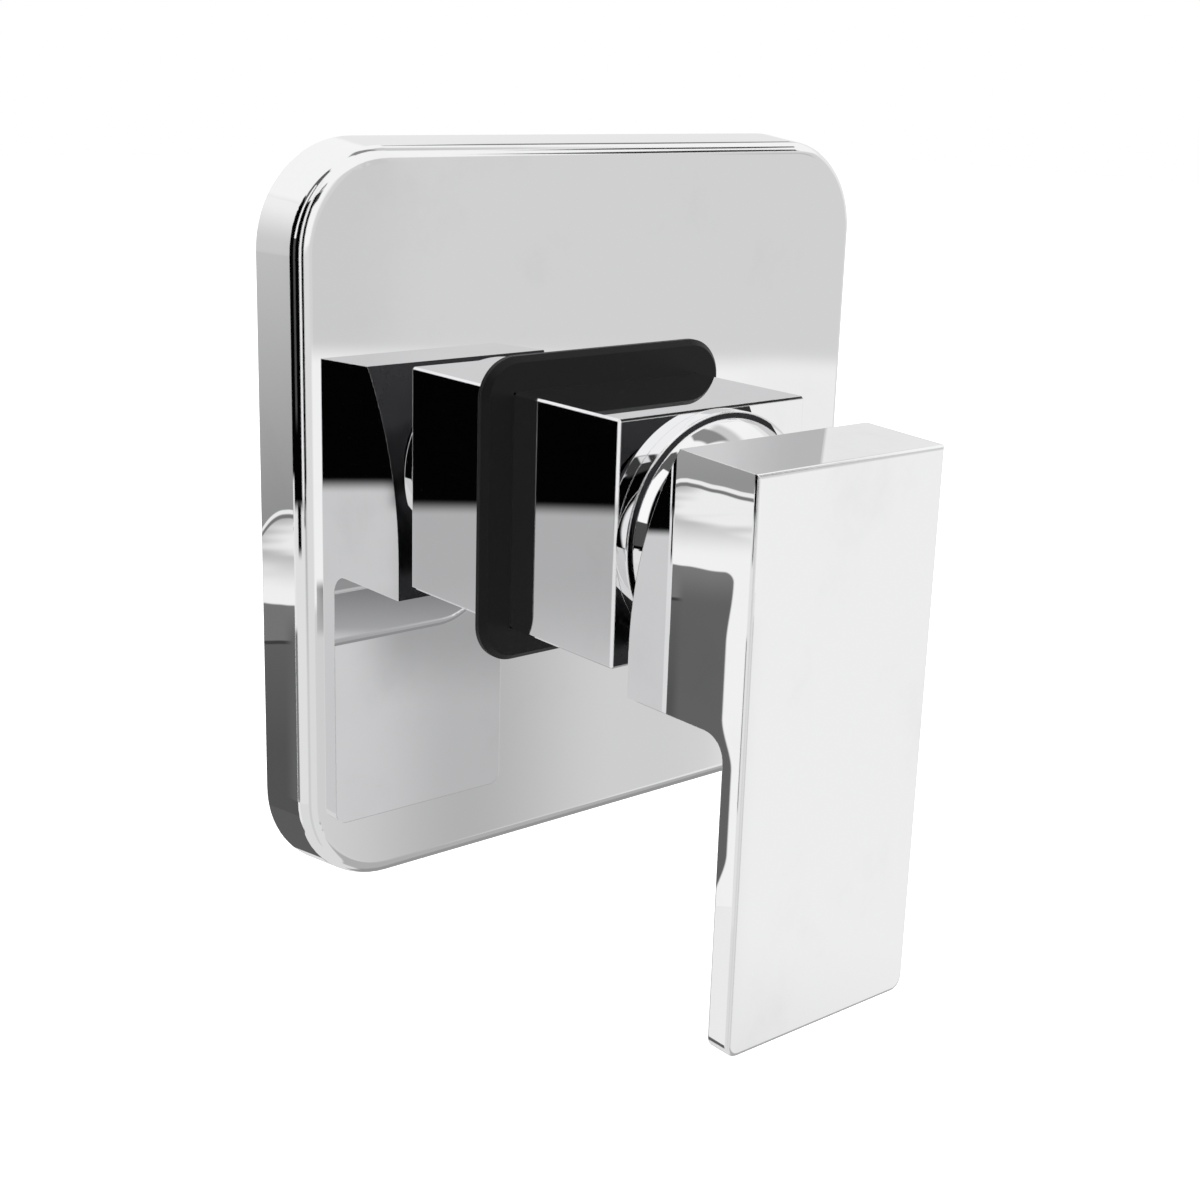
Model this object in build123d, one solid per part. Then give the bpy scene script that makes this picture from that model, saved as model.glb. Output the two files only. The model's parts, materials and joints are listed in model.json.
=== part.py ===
"""Concealed single lever shower valve with a square plate, a square sleeve and a long flat lever.

Sizes are in millimetres. Every piece is drawn in the valve's own frame: +Z points out of the
wall along the valve's axis, +Y points up, and the origin is the axis in the wall's plane. Each
piece is turned as it is written, so that in the files +Z is up and the lever faces -Y.
"""
from build123d import *
from math import asin, atan, cos, degrees, radians, sin, sqrt, tan
import os

# Wall plate, a drawn sheet shell
PLATE_SIDE = 150.0
PLATE_DEPTH = 13.0
PLATE_SHEET = 1.2
PLATE_DRAFT = 1.5
PLATE_CORNER_R = 21.0
PLATE_FRONT_ROUND = 3.2
SLEEVE_HOLE_GAP = 0.5

# Seals on the plate
WALL_SEAL_WIDTH = 6.0
WALL_SEAL_HEIGHT = 4.0
GASKET_MARGIN = 7.2
GASKET_THICKNESS = 1.8
GASKET_CORNER_R = 8.5
GASKET_BEVEL = 1.2

# Square sleeve and the ring that centres it. The sleeve is a little wider than the dome cap's ring
RING_INSET = 0.2
SLEEVE_REACH = 35.0
SLEEVE_WALL = 2.2
SLEEVE_FRONT_WALL = 2.5
SLEEVE_TAIL = 11.0
SLEEVE_EDGE_BEVEL = 0.5
GUIDE_INSET = 1.0
GUIDE_LENGTH = 7.0

# Dome cap: a ring on the sleeve, a ball-shaped dome about the lever's pivot, and a skirt
RING_LEDGE = 2.2
RING_HEIGHT = 3.2
RING_EDGE_ROUND = 0.4
DOME_RIM_INSET = 1.6
DOME_WALL = 1.5
DOME_OPENING_R = 15.8
SKIRT_WALL = 1.55
SKIRT_LENGTH = 15.0
SKIRT_GAP = 0.1
THREAD_GAP = 0.05

# Lever motion
PIVOT_BEHIND_FRONT = 5.0
LIFT_ANGLE = 22.0

# Handle, as wide as the sleeve
HEAD_GAP = 1.8
HEAD_DEPTH = 33.0
HEAD_TOP = 22.5
HEAD_TOP_SLOPE = 1.0
HEAD_BACK_RADIUS = 79.0
HEAD_BACK_BEND = 20.0
HEAD_BOTTOM = 29.3
PADDLE_BOTTOM = 93.8
PADDLE_THICKNESS = 5.4
PADDLE_ROOT_R = 5.0
PADDLE_CORNER_R = 3.0
HANDLE_EDGE_ROUND = 0.8
RECESS_GAP = 0.6
HEAD_CORE_R = 16.5
HEAD_FRONT_WALL = 5.0
BOSS_WALL = 2.45
BOSS_TO_PIVOT = 14.0

# Stem, pin and carrier
STEM_SIDE = 8.0
STEM_TO_TIP = 27.0
STEM_TIP_BEVEL = 0.8
STEM_SHOULDER = 3.5
ARM_RADIUS = 2.6
BALL_RADIUS = 2.9
SOCKET_GAP = 0.05
PIN_RADIUS = 1.5
PIN_GAP = 0.05
PIN_END_INSET = 1.1
SLOT_GAP = 0.25
CARRIER_FLANGE = 3.85
CARRIER_O_RING = 0.65
CARRIER_O_RING_OUT = 2.7
O_RING_GAP = 0.05

# Handle screw and its plug
SCREW_RADIUS = 2.5
SCREW_LENGTH = 10.0
SCREW_OUT = 23.0
HEX_KEY = 2.5
HEX_KEY_DEPTH = 3.0
SCREW_RIB_WIDTH = 9.0
CAP_LEDGE = 0.7
CAP_LENGTH = 3.5
CAP_FACE_BEVEL = 0.3
HOLE_GAP = 0.05

# Cartridge
CASING_RADIUS = 17.5
CASING_WALL = 2.2
CASING_TOP_WALL = 2.0
CASING_SHOULDER = 5.0
CASING_NECK_R = 11.5
CASING_NECK_WALL = 2.0
CASING_NECK_ABOVE = 6.0
CASING_LENGTH = 23.0
RUNNING_GAP = 0.08
FACE_GAP = 0.15
WATER_FILM = 0.04
BASE_FLANGE = 3.0
BASE_SPIGOT = 2.0
BASE_SEAL_PROUD = 1.0
BASE_KEY_WIDTH = 5.0
KEY_GAP = 0.1
FIXED_DISC_THICKNESS = 4.0
DISC_TO_CASING = 1.1
MOVING_DISC_THICKNESS = 3.36
DISC_EDGE_MARGIN = 0.09
DRIVER_LIP = 0.1
DOG_WIDTH = 4.0
DOG_LENGTH = 2.6
DOG_DEPTH = 2.0
SOCKET_FLOOR = 0.45
MIXING_POCKET = 2.0
PORT_RADIUS = 3.0
PORT_SIDE = 7.2
PORT_UP = 7.5
PORT_SEAL_WALL = 1.4
PORT_SEAL_HEIGHT = 1.6
KEY_PIN_RADIUS = 1.5
KEY_PIN_LENGTH = 2.5

# Nut that clamps the cartridge
NUT_LEDGE = 1.1
NUT_THREAD_LENGTH = 8.0
NUT_HEX = 30.0
NUT_HEX_HEIGHT = 4.0
NUT_HEX_BEVEL = 0.8
NUT_BORE_GAP = 0.2

# Brass body in the wall
NECK_WALL = 2.4
NECK_O_RING = 0.95
NECK_O_RING_IN = 2.2
BODY_STEP = 3.5
BODY_FRONT = -6.0
BODY_BACK = -40.0
PORT_AXIS = -24.0
PORT_REACH = 40.0
THREAD_RADIUS = 9.5
PORT_BOSS_WALL = 4.5
PORT_BOSS_BEVEL = 1.2
NECK_BEVEL = 0.6
BODY_EDGE_ROUND = 2.0
THREAD_LENGTH = 15.0
CROSS_PASSAGE_R = 3.5
LUG_SPACING = 60.0
LUG_RADIUS = 7.0
LUG_THICKNESS = 5.0
LUG_DROP = 24.0
FIXING_THREAD_R = 2.4
FIXING_NECK_R = 1.9
FIXING_THREAD_START = 0.5
FIXING_GAP = 0.3
FIXING_HEAD_R = 4.6
FIXING_HEAD_HEIGHT = 3.0
FIXING_LENGTH = 28.0

# Radii and widths, from the cartridge outwards
CHAMBER_RADIUS = CASING_RADIUS - CASING_WALL
NUT_THREAD_R = CASING_RADIUS + NUT_LEDGE
NECK_RADIUS = NUT_THREAD_R + NECK_WALL
BODY_RADIUS = NECK_RADIUS + BODY_STEP
SKIRT_BORE = NECK_RADIUS + THREAD_GAP
SKIRT_RADIUS = SKIRT_BORE + SKIRT_WALL
RING_RADIUS = SKIRT_RADIUS + RING_LEDGE
DOME_RIM_RADIUS = RING_RADIUS - DOME_RIM_INSET
SLEEVE_SIDE = 2 * (RING_RADIUS + RING_INSET)
HANDLE_WIDTH = SLEEVE_SIDE
CASING_NECK_BORE = CASING_NECK_R - CASING_NECK_WALL
PIN_LENGTH = 2 * (CASING_NECK_BORE - PIN_END_INSET)
BOSS_RADIUS = STEM_SIDE / 2 + SOCKET_GAP + BOSS_WALL
CAP_RADIUS = SCREW_RADIUS + CAP_LEDGE
PORT_BOSS_R = THREAD_RADIUS + PORT_BOSS_WALL
FIXING_HOLE_R = FIXING_THREAD_R + FIXING_GAP

# Places along the axis, out of the wall
SLEEVE_FRONT = PLATE_DEPTH + SLEEVE_REACH
SLEEVE_BACK = PLATE_DEPTH - SLEEVE_TAIL
RING_FRONT = SLEEVE_FRONT + RING_HEIGHT
PIVOT = SLEEVE_FRONT - PIVOT_BEHIND_FRONT
DOME_RADIUS = sqrt(DOME_RIM_RADIUS**2 + (RING_FRONT - PIVOT) ** 2)
SHOULDER = PIVOT - CASING_SHOULDER
CASING_BACK = SHOULDER - CASING_LENGTH
CHAMBER_TOP = SHOULDER - CASING_TOP_WALL
CASING_NECK_TOP = PIVOT + CASING_NECK_ABOVE
CARRIER_TOP = CASING_NECK_TOP - 0.4
FLANGE_TOP = CHAMBER_TOP - FACE_GAP
FLANGE_BACK = FLANGE_TOP - CARRIER_FLANGE
BASE_TOP = CASING_BACK + BASE_SPIGOT
BASE_BACK = CASING_BACK - BASE_FLANGE
SEAT = BASE_BACK - BASE_SEAL_PROUD
FIXED_DISC_TOP = BASE_TOP + FIXED_DISC_THICKNESS
MOVING_DISC_BACK = FIXED_DISC_TOP + WATER_FILM
DRIVER_BACK = MOVING_DISC_BACK + MOVING_DISC_THICKNESS
NUT_TOP = SHOULDER + NUT_THREAD_LENGTH
NECK_O_RING_OUT = SLEEVE_FRONT - SKIRT_LENGTH + NECK_O_RING_IN

# The stem's arm ends in a ball in the driver's socket, and its swing slides the moving disc
BALL_OUT = DRIVER_BACK + SOCKET_FLOOR + SLOT_GAP + BALL_RADIUS
ARM_LENGTH = PIVOT - BALL_OUT
DISC_TRAVEL = ARM_LENGTH * sin(radians(LIFT_ANGLE))
DISC_START = DISC_TRAVEL / 2
FIXED_DISC_RADIUS = CHAMBER_RADIUS - DISC_TO_CASING
MOVING_DISC_RADIUS = FIXED_DISC_RADIUS - DISC_START - DISC_EDGE_MARGIN
DRIVER_RADIUS = MOVING_DISC_RADIUS + DRIVER_LIP

# Handle places along the axis
HEAD_BACK_OUT = RING_FRONT + HEAD_GAP
HANDLE_FACE = HEAD_BACK_OUT + HEAD_DEPTH
PADDLE_BACK = HANDLE_FACE - PADDLE_THICKNESS
STEM_TIP = PIVOT + STEM_TO_TIP
SCREW_AXIS = PIVOT + SCREW_OUT
RECESS_RADIUS = DOME_RADIUS + RECESS_GAP

PORTS = [(-PORT_SIDE, 0), (PORT_SIDE, 0), (0, PORT_UP)]
BASE_ALIGN = (Align.CENTER, Align.CENTER, Align.MIN)


def rod(radius, start, end, at=(0, 0)):
    """A cylinder along the valve's axis from one place to another."""
    return Pos(at[0], at[1], start) * Cylinder(radius, end - start, align=BASE_ALIGN)


def tube(outer, inner, start, end, at=(0, 0)):
    """A rod with a bore right through."""
    return rod(outer, start, end, at) - rod(inner, start, end, at)


def block(width, height, start, end, at=(0, 0)):
    """A square-edged bar along the axis."""
    return Pos(at[0], at[1], start) * Box(width, height, end - start, align=BASE_ALIGN)


def across(radius, start, end, out, up=0):
    """A cylinder along X from one place to another."""
    return Pos(start, up, out) * Rot(0, 90, 0) * Cylinder(radius, end - start, align=BASE_ALIGN)


def upward(radius, start, end, out, side=0):
    """A cylinder along the up direction from one height to another."""
    return Pos(side, start, out) * Rot(-90, 0, 0) * Cylinder(radius, end - start, align=BASE_ALIGN)


def o_ring(section, outer, out):
    """A round-section ring of the given outer radius at a place along the axis."""
    return Pos(0, 0, out) * Torus(outer - section, section)


def ring_groove(section, outer, out):
    """The square groove that an o-ring lies in, cut in from the outer radius."""
    return tube(outer + 1, outer - 2 * section, out - section, out + section)


def drawn_pan(side, depth, corner, draft, front_round=0.0):
    """A square block with round corners, drafted walls and a round front edge."""
    outline = RectangleRounded(side, side, corner)
    pan = extrude(outline, depth, taper=degrees(atan(draft / depth)))
    if front_round:
        pan = fillet(pan.faces().sort_by(Axis.Z)[-1].edges(), front_round)
    return pan


def wall_plate():
    outside = drawn_pan(PLATE_SIDE, PLATE_DEPTH, PLATE_CORNER_R, PLATE_DRAFT, PLATE_FRONT_ROUND)
    inner_depth = PLATE_DEPTH - PLATE_SHEET
    inner_draft = PLATE_DRAFT * inner_depth / PLATE_DEPTH
    inside = drawn_pan(
        PLATE_SIDE - 2 * PLATE_SHEET,
        inner_depth,
        PLATE_CORNER_R - PLATE_SHEET,
        inner_draft,
        PLATE_FRONT_ROUND - PLATE_SHEET,
    )
    hole = SLEEVE_SIDE + 2 * SLEEVE_HOLE_GAP
    return outside - inside - block(hole, hole, 0, PLATE_DEPTH + 1)


def plate_wall_seal():
    side = PLATE_SIDE - 2 * PLATE_SHEET
    corner = PLATE_CORNER_R - PLATE_SHEET
    outside = drawn_pan(side, WALL_SEAL_HEIGHT, corner, PLATE_DRAFT * WALL_SEAL_HEIGHT / PLATE_DEPTH)
    inner_side = side - 2 * WALL_SEAL_WIDTH
    inside = extrude(RectangleRounded(inner_side, inner_side, corner - WALL_SEAL_WIDTH), WALL_SEAL_HEIGHT)
    return outside - inside


def plate_gasket():
    side = SLEEVE_SIDE + 2 * GASKET_MARGIN
    pad = Pos(0, 0, PLATE_DEPTH) * extrude(RectangleRounded(side, side, GASKET_CORNER_R), GASKET_THICKNESS)
    pad = chamfer(pad.faces().sort_by(Axis.Z)[-1].edges(), GASKET_BEVEL)
    return pad - block(SLEEVE_SIDE, SLEEVE_SIDE, PLATE_DEPTH, PLATE_DEPTH + GASKET_THICKNESS)


def square_sleeve():
    sleeve = block(SLEEVE_SIDE, SLEEVE_SIDE, SLEEVE_BACK, SLEEVE_FRONT)
    long_edges = sleeve.edges().filter_by(Axis.Z)
    front_edges = sleeve.faces().sort_by(Axis.Z)[-1].edges()
    sleeve = chamfer(long_edges + front_edges, SLEEVE_EDGE_BEVEL)
    bore = SLEEVE_SIDE - 2 * SLEEVE_WALL
    sleeve -= block(bore, bore, SLEEVE_BACK, SLEEVE_FRONT - SLEEVE_FRONT_WALL)
    return sleeve - rod(SKIRT_RADIUS + SKIRT_GAP, SLEEVE_FRONT - SLEEVE_FRONT_WALL, SLEEVE_FRONT)


def sleeve_guide_ring():
    side = SLEEVE_SIDE - 2 * SLEEVE_WALL
    start = SLEEVE_BACK + GUIDE_INSET
    ring = block(side, side, start, start + GUIDE_LENGTH)
    return ring - rod(NECK_RADIUS, start, start + GUIDE_LENGTH)


def ball_height(radius, side):
    """How far out a point of the dome's ball lies, for its distance from the axis."""
    return PIVOT + sqrt(radius**2 - side**2)


def dome_cap():
    inner = DOME_RADIUS - DOME_WALL
    skirt_end = SLEEVE_FRONT - SKIRT_LENGTH
    lip_outer = (DOME_OPENING_R, ball_height(DOME_RADIUS, DOME_OPENING_R))
    lip_inner = (DOME_OPENING_R, ball_height(inner, DOME_OPENING_R))
    middle = (asin(DOME_OPENING_R / DOME_RADIUS) + asin(DOME_RIM_RADIUS / DOME_RADIUS)) / 2
    outer_middle = (DOME_RADIUS * sin(middle), PIVOT + DOME_RADIUS * cos(middle))
    turn = (asin(DOME_OPENING_R / inner) + asin(SKIRT_BORE / inner)) / 2
    inner_middle = (inner * sin(turn), PIVOT + inner * cos(turn))
    rim = (DOME_RIM_RADIUS, RING_FRONT)
    bore_top = (SKIRT_BORE, ball_height(inner, SKIRT_BORE))
    profile = Polyline(
        rim,
        (RING_RADIUS, RING_FRONT),
        (RING_RADIUS, SLEEVE_FRONT),
        (SKIRT_RADIUS, SLEEVE_FRONT),
        (SKIRT_RADIUS, skirt_end),
        (SKIRT_BORE, skirt_end),
        bore_top,
    )
    profile += ThreePointArc(bore_top, inner_middle, lip_inner) + Line(lip_inner, lip_outer)
    profile += ThreePointArc(lip_outer, outer_middle, rim)
    cap = revolve(Plane.XZ * make_face(profile), Axis.Z)
    ring_edge = cap.edges().filter_by(GeomType.CIRCLE).filter_by(
        lambda edge: abs(edge.radius - RING_RADIUS) < 0.01 and abs(edge.center().Z - RING_FRONT) < 0.01
    )
    return fillet(ring_edge, RING_EDGE_ROUND)


def cartridge_nut():
    nut = rod(NUT_THREAD_R, SHOULDER, NUT_TOP)
    head = extrude(RegularPolygon(NUT_HEX / 2, 6, major_radius=False), NUT_HEX_HEIGHT)
    head = chamfer(head.faces().sort_by(Axis.Z)[-1].edges(), NUT_HEX_BEVEL)
    nut += Pos(0, 0, NUT_TOP) * head
    return nut - rod(CASING_NECK_R + NUT_BORE_GAP, SHOULDER, NUT_TOP + NUT_HEX_HEIGHT)


def base_keys(gap):
    """Two keys on the base that turn the casing with it, or with a gap the notches for them."""
    reach = 2 * (CASING_RADIUS + gap)
    bar = block(reach, BASE_KEY_WIDTH + 2 * gap, CASING_BACK, BASE_TOP + gap)
    return bar & tube(CASING_RADIUS + gap, CHAMBER_RADIUS - gap, CASING_BACK, BASE_TOP + gap)


def cartridge_casing():
    casing = rod(CASING_RADIUS, CASING_BACK, SHOULDER) + rod(CASING_NECK_R, SHOULDER, CASING_NECK_TOP)
    casing -= rod(CHAMBER_RADIUS, CASING_BACK, CHAMBER_TOP)
    casing -= base_keys(KEY_GAP)
    return casing - rod(CASING_NECK_BORE, CHAMBER_TOP, CASING_NECK_TOP)


def port_seal(at, start):
    outer = PORT_RADIUS + PORT_SEAL_WALL
    return tube(outer, PORT_RADIUS, start, start + PORT_SEAL_HEIGHT, at)


def base_seals():
    return [port_seal(at, SEAT) for at in PORTS]


def disc_seals():
    return [port_seal(at, BASE_TOP - PORT_SEAL_HEIGHT) for at in PORTS]


def key_pin_places():
    """The two key pins stand below the ports, clear of the seals."""
    return [(-PORT_SIDE, -PORT_UP), (PORT_SIDE, -PORT_UP)]


def cartridge_base():
    base = rod(CASING_RADIUS, BASE_BACK, CASING_BACK) + rod(CHAMBER_RADIUS, CASING_BACK, BASE_TOP)
    base += base_keys(0)
    seal_outer = PORT_RADIUS + PORT_SEAL_WALL
    for at in PORTS:
        base -= rod(PORT_RADIUS, BASE_BACK, BASE_TOP, at)
        base -= rod(seal_outer, BASE_TOP - PORT_SEAL_HEIGHT, BASE_TOP, at)
        base -= rod(seal_outer, BASE_BACK, SEAT + PORT_SEAL_HEIGHT, at)
    for at in key_pin_places():
        base += rod(KEY_PIN_RADIUS, BASE_BACK - KEY_PIN_LENGTH, BASE_BACK, at)
    return base


def fixed_disc():
    disc = rod(FIXED_DISC_RADIUS, BASE_TOP, FIXED_DISC_TOP)
    for at in PORTS:
        disc -= rod(PORT_RADIUS, BASE_TOP, FIXED_DISC_TOP, at)
    return disc


def driver_dogs(gap):
    """Two dogs under the driver's rim that push the disc, or with a gap the notches for them."""
    bottom = DRIVER_BACK - DOG_DEPTH - gap
    whole = block(2 * DRIVER_RADIUS, DOG_WIDTH + 2 * gap, bottom, DRIVER_BACK, (0, DISC_START))
    inner = block(2 * (MOVING_DISC_RADIUS - DOG_LENGTH - gap), 2 * DOG_WIDTH, bottom, DRIVER_BACK, (0, DISC_START))
    return (whole - inner) & rod(MOVING_DISC_RADIUS + gap, bottom, DRIVER_BACK, (0, DISC_START))


def moving_disc():
    """The upper disc, with the shallow pocket that joins the ports as it slides down."""
    top = MOVING_DISC_BACK + MOVING_DISC_THICKNESS
    disc = rod(MOVING_DISC_RADIUS, MOVING_DISC_BACK, top, (0, DISC_START))
    pocket_width = 2 * (PORT_SIDE - PORT_RADIUS)
    pocket = RectangleRounded(pocket_width, PORT_UP + PORT_RADIUS, PORT_RADIUS)
    pocket_up = DISC_START + (PORT_UP - PORT_RADIUS) / 2
    disc -= Pos(0, pocket_up, MOVING_DISC_BACK) * extrude(pocket, MIXING_POCKET)
    return disc - driver_dogs(KEY_GAP)


def disc_driver():
    """The coupling on the moving disc, with a straight socket for the ball and a flared mouth."""
    top = FLANGE_BACK - FACE_GAP
    driver = rod(DRIVER_RADIUS, DRIVER_BACK, top, (0, DISC_START)) + driver_dogs(0)
    lifted_ball = PIVOT - ARM_LENGTH * cos(radians(LIFT_ANGLE))
    throat = lifted_ball + SLOT_GAP
    socket = BALL_RADIUS + SLOT_GAP
    driver -= rod(socket, DRIVER_BACK + SOCKET_FLOOR, throat)
    arm_edge = (ARM_RADIUS / cos(radians(LIFT_ANGLE))) + (ARM_LENGTH - PIVOT + top) * tan(radians(LIFT_ANGLE))
    mouth = max(arm_edge, socket) + 2 * SLOT_GAP
    flare = Cone(socket, mouth, top - throat, align=BASE_ALIGN)
    return driver - Pos(0, 0, throat) * flare


def carrier_slots():
    """Room for the stem above the pivot and for its arm below it, over the whole lift."""
    lift = radians(LIFT_ANGLE)
    width = STEM_SIDE + 2 * SLOT_GAP
    half_stem = STEM_SIDE / 2 / cos(lift)
    high = (CARRIER_TOP - PIVOT) * tan(lift) + half_stem + SLOT_GAP
    low = (PIVOT - FLANGE_BACK) * tan(lift) + ARM_RADIUS / cos(lift) + SLOT_GAP
    rest = half_stem + SLOT_GAP
    stem_foot = STEM_SHOULDER * tan(lift) + rest
    lower_down = max(low, stem_foot)
    upper = block(width, high + rest, PIVOT, CARRIER_TOP, (0, (high - rest) / 2))
    lower = block(width, rest + lower_down, FLANGE_BACK, PIVOT, (0, (rest - lower_down) / 2))
    return upper + lower


def lever_carrier():
    neck = CASING_NECK_BORE - RUNNING_GAP
    carrier = rod(neck, FLANGE_TOP, CARRIER_TOP) + rod(CHAMBER_RADIUS - RUNNING_GAP, FLANGE_BACK, FLANGE_TOP)
    carrier -= carrier_slots()
    carrier -= across(PIN_RADIUS, -PIN_LENGTH / 2, PIN_LENGTH / 2, PIVOT)
    return carrier - ring_groove(CARRIER_O_RING, CASING_NECK_BORE - O_RING_GAP, PIVOT + CARRIER_O_RING_OUT)


def carrier_o_ring():
    return o_ring(CARRIER_O_RING, CASING_NECK_BORE - O_RING_GAP, PIVOT + CARRIER_O_RING_OUT)


def lever_pin():
    return across(PIN_RADIUS, -PIN_LENGTH / 2, PIN_LENGTH / 2, PIVOT)


def lever_stem():
    stem = block(STEM_SIDE, STEM_SIDE, PIVOT - STEM_SHOULDER, STEM_TIP)
    stem = chamfer(stem.faces().sort_by(Axis.Z)[-1].edges(), STEM_TIP_BEVEL)
    stem += rod(ARM_RADIUS, BALL_OUT, PIVOT - STEM_SHOULDER)
    stem += Pos(0, 0, BALL_OUT) * Sphere(BALL_RADIUS)
    return stem - across(PIN_RADIUS + PIN_GAP, -STEM_SIDE, STEM_SIDE, PIVOT)


def handle_side_outline():
    """The side view of the lever, as height against distance out of the wall."""
    head_back_top = HEAD_BACK_OUT + HEAD_BACK_RADIUS
    head_back_top -= sqrt(HEAD_BACK_RADIUS**2 - (HEAD_TOP + HEAD_BACK_BEND) ** 2)
    bend = (-HEAD_BACK_BEND, HEAD_BACK_OUT)
    top_back = (HEAD_TOP, head_back_top)
    outline = TangentArc(bend, top_back, tangent=(1, 0))
    outline += Polyline(
        top_back,
        (HEAD_TOP - HEAD_TOP_SLOPE, HANDLE_FACE),
        (-PADDLE_BOTTOM, HANDLE_FACE),
        (-PADDLE_BOTTOM, PADDLE_BACK),
        (-HEAD_BOTTOM, PADDLE_BACK),
        (-HEAD_BOTTOM, HEAD_BACK_OUT),
        bend,
    )
    return make_face(outline)


def handle_blank():
    """The lever's outer form, with its soft edges, before it is hollowed."""
    blank = extrude(Plane.YZ * handle_side_outline(), HANDLE_WIDTH / 2, both=True)
    root = blank.edges().filter_by(Axis.X).filter_by(
        lambda edge: abs(edge.center().Y + HEAD_BOTTOM) < 0.01 and abs(edge.center().Z - PADDLE_BACK) < 0.01
    )
    blank = fillet(root, PADDLE_ROOT_R)
    corners = blank.edges().filter_by(Axis.Z).filter_by(
        lambda edge: abs(edge.center().Y + PADDLE_BOTTOM) < 0.01
    )
    blank = fillet(corners, PADDLE_CORNER_R)
    return fillet(blank.faces().sort_by(Axis.Z)[-1].edges(), HANDLE_EDGE_ROUND)


def handle():
    front = HANDLE_FACE - HEAD_FRONT_WALL
    recess = Pos(0, 0, PIVOT) * Sphere(RECESS_RADIUS)
    core = tube(HEAD_CORE_R, BOSS_RADIUS, PIVOT, front)
    rib_low = block(SCREW_RIB_WIDTH, HEAD_CORE_R, PIVOT, front, (0, -HEAD_CORE_R / 2))
    body = handle_blank() - recess - (core - rib_low)
    body += rod(BOSS_RADIUS, PIVOT + BOSS_TO_PIVOT, front)
    socket = STEM_SIDE + 2 * SOCKET_GAP
    body -= block(socket, socket, PIVOT, STEM_TIP + SOCKET_GAP)
    body -= upward(SCREW_RADIUS + HOLE_GAP, -HEAD_BOTTOM, 0, SCREW_AXIS)
    return body - upward(CAP_RADIUS, -HEAD_BOTTOM, -HEAD_BOTTOM + CAP_LENGTH, SCREW_AXIS)


def handle_set_screw():
    tip = -STEM_SIDE / 2
    screw = upward(SCREW_RADIUS, tip - SCREW_LENGTH, tip, SCREW_AXIS)
    key = extrude(RegularPolygon(HEX_KEY / 2, 6, major_radius=False), HEX_KEY_DEPTH)
    return screw - Pos(0, tip - SCREW_LENGTH, SCREW_AXIS) * Rot(-90, 0, 0) * key


def screw_cap():
    cap = upward(CAP_RADIUS, -HEAD_BOTTOM, -HEAD_BOTTOM + CAP_LENGTH, SCREW_AXIS)
    return chamfer(cap.faces().sort_by(Axis.Y)[0].edges(), CAP_FACE_BEVEL)


def neck_o_ring():
    return o_ring(NECK_O_RING, NECK_RADIUS + THREAD_GAP, NECK_O_RING_OUT)


def fixing_places():
    return [(-LUG_SPACING / 2, -LUG_DROP), (LUG_SPACING / 2, -LUG_DROP)]


def body_passages():
    """The three waterways, from the seat to the two inlets and the outlet."""
    inner_end = PORT_REACH - THREAD_LENGTH
    ways = across(THREAD_RADIUS, -PORT_REACH, -inner_end, PORT_AXIS)
    ways += across(THREAD_RADIUS, inner_end, PORT_REACH, PORT_AXIS)
    ways += upward(THREAD_RADIUS, inner_end, PORT_REACH, PORT_AXIS)
    ways += across(CROSS_PASSAGE_R, -inner_end, -PORT_SIDE, PORT_AXIS)
    ways += across(CROSS_PASSAGE_R, PORT_SIDE, inner_end, PORT_AXIS)
    ways += upward(CROSS_PASSAGE_R, PORT_UP, inner_end, PORT_AXIS)
    for at in PORTS:
        ways += rod(PORT_RADIUS, PORT_AXIS, SEAT, at)
    return ways


def port_bosses():
    """The side bosses and the top one, their mouths bevelled outside."""
    sides = across(PORT_BOSS_R, -PORT_REACH, PORT_REACH, PORT_AXIS)
    sides = chamfer(sides.edges().filter_by(GeomType.CIRCLE), PORT_BOSS_BEVEL)
    top = upward(PORT_BOSS_R, 0, PORT_REACH, PORT_AXIS)
    top = chamfer(top.edges().filter_by(GeomType.CIRCLE).sort_by(Axis.Y)[-1], PORT_BOSS_BEVEL)
    return sides + top


def valve_body():
    neck = rod(NECK_RADIUS, BODY_FRONT, NUT_TOP)
    neck = chamfer(neck.faces().sort_by(Axis.Z)[-1].edges(), NECK_BEVEL)
    body = rod(BODY_RADIUS, BODY_BACK, BODY_FRONT)
    body = fillet(body.faces().sort_by(Axis.Z)[-1].edges(), BODY_EDGE_ROUND)
    body += neck + port_bosses()
    lugs = SlotOverall(LUG_SPACING + 2 * LUG_RADIUS, 2 * LUG_RADIUS)
    body += Pos(0, -LUG_DROP, BODY_BACK) * extrude(lugs, LUG_THICKNESS)
    body -= rod(CASING_RADIUS + HOLE_GAP, SEAT, SHOULDER)
    body -= rod(NUT_THREAD_R + THREAD_GAP, SHOULDER, NUT_TOP)
    body -= ring_groove(NECK_O_RING, NECK_RADIUS + THREAD_GAP, NECK_O_RING_OUT)
    body -= body_passages()
    for at in key_pin_places():
        body -= rod(KEY_PIN_RADIUS + HOLE_GAP, BASE_BACK - KEY_PIN_LENGTH, SEAT, at)
    for at in fixing_places():
        body -= rod(FIXING_HOLE_R, BODY_BACK, BODY_BACK + LUG_THICKNESS, at)
    return body


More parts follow.
